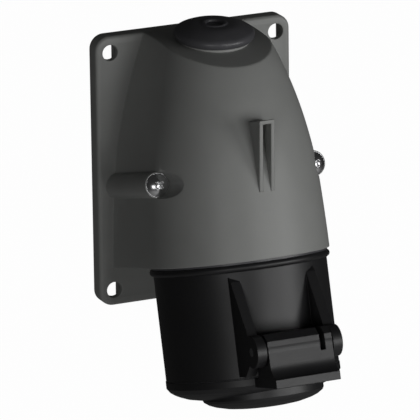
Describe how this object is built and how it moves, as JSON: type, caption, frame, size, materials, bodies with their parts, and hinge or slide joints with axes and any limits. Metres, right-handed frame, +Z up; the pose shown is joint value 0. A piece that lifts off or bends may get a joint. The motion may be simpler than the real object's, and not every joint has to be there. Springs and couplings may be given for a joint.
{
  "type": "wall-mounted pin and sleeve receptacle",
  "caption": "Wall-mounted angled pin and sleeve receptacle with a bell-shaped housing, a cable grommet on top and a sprung hinged lid over the mouth.",
  "frame": {"origin": "centre of the wall plate's rear face, on the wall", "axes": "+X to the right seen from the front, +Y into the wall, +Z up; the socket points down and out to -Y"},
  "size_m": [0.0734, 0.0988, 0.1306],
  "materials": {
    "housing_plastic": "fine satin moulding",
    "black_plastic": "satin moulding",
    "carrier_plastic": "matte moulding",
    "seal_rubber": "smooth soft rubber",
    "contact_brass": "turned",
    "screw_chrome": "polished",
    "steel": "plain drawn"
  },
  "bodies": {
    "base": {"housing": "housing_plastic", "rear_cover": "housing_plastic", "rear_gasket": "seal_rubber", "cable_grommet": "seal_rubber", "sleeve_seal": "seal_rubber", "socket_sleeve": "black_plastic", "retaining_ring": "black_plastic", "contact_carrier": "carrier_plastic", "contact_l1": "contact_brass", "contact_l2": "contact_brass", "contact_l3": "contact_brass", "contact_earth": "contact_brass", "contact_clips": "steel", "terminal_screws": "steel", "carrier_screws": "steel", "housing_screw_left": "screw_chrome", "housing_screw_right": "screw_chrome", "screw_inserts": "contact_brass", "hinge_pin": "steel", "lid_spring": "steel"},
    "lid": {"lid": "black_plastic", "lid_gasket": "seal_rubber"}
  },
  "joints": [
    {"name": "lid_hinge", "type": "hinge", "parent": "base", "child": "lid", "pos_m": [0, -0.08688, -0.04385], "axis": [-1, 0, 0], "range_deg": [0, 115], "stiffness_Nm_per_rad": 0.04, "springref_deg": -91.67, "deforming": ["lid_spring"]}
  ]
}
